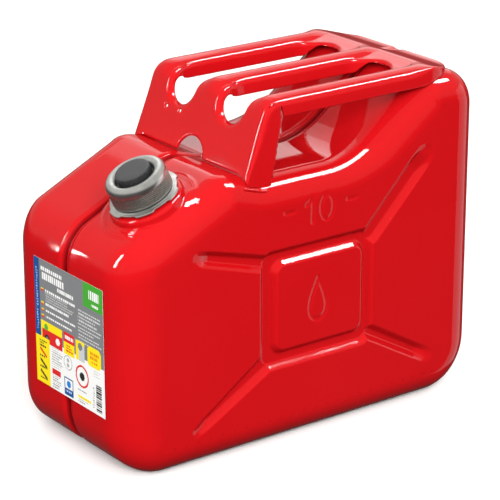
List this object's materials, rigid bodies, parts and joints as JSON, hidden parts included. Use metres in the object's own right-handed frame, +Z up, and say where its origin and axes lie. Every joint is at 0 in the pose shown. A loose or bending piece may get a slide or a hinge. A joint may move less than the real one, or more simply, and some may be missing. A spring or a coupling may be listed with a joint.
{
  "type": "fuel can",
  "caption": "Pressed-steel fuel can with a triple-bar carrying handle, sloping shoulder, offset threaded filler and knurled screw cap with a relief button.",
  "frame": {"origin": "centre of the base, on the surface the can stands on", "axes": "+X runs along the can to the rear air chamber, +Y to the far broad side, +Z up; the filler is at -X on the -Y side"},
  "size_m": [0.3436, 0.165, 0.2772],
  "materials": {
    "red_paint": "gloss",
    "plated_steel": "satin",
    "dark_steel": "satin",
    "brass": "satin",
    "fuel_rubber": "matte",
    "label_film": "satin"
  },
  "bodies": {
    "can": {"body_shell_near": "red_paint", "body_shell_far": "red_paint", "seam_weld": "red_paint", "handle_pressing": "red_paint", "handle_weld_near": "red_paint", "handle_weld_far": "red_paint", "handle_weld_rear": "red_paint", "neck_collar": "red_paint", "filler_neck": "plated_steel", "vent_pipe": "plated_steel", "vent_clip": "plated_steel", "label": "label_film"},
    "cap_core": {"seal_carrier": "plated_steel", "cap_gasket": "fuel_rubber"},
    "cap_ring": {"cap_ring": "plated_steel", "cap_skirt": "plated_steel", "snap_ring": "dark_steel"},
    "relief_button": {"relief_button": "dark_steel", "relief_stem": "brass", "relief_spring": "dark_steel", "valve_disc": "plated_steel", "valve_seal": "fuel_rubber"}
  },
  "joints": [
    {"name": "cap_lift", "type": "slide", "parent": "can", "child": "cap_core", "axis": [-0.4344, 0, 0.9007], "range_m": [0, 0.0081]},
    {"name": "cap_turn", "type": "hinge", "parent": "cap_core", "child": "cap_ring", "pos_m": [-0.1196, -0.0389, 0.20253], "axis": [-0.4344, 0, 0.9007], "range_deg": [0, 720]},
    {"name": "button_press", "type": "slide", "parent": "cap_ring", "child": "relief_button", "axis": [0.4344, 0, -0.9007], "range_m": [0, 0.002], "stiffness_N_per_m": 600, "springref_m": -0.001, "deforming": ["relief_spring"]}
  ],
  "couplings": [
    {"joint": "cap_lift", "follows": "cap_turn", "m_per_rad": 0.00063662}
  ]
}
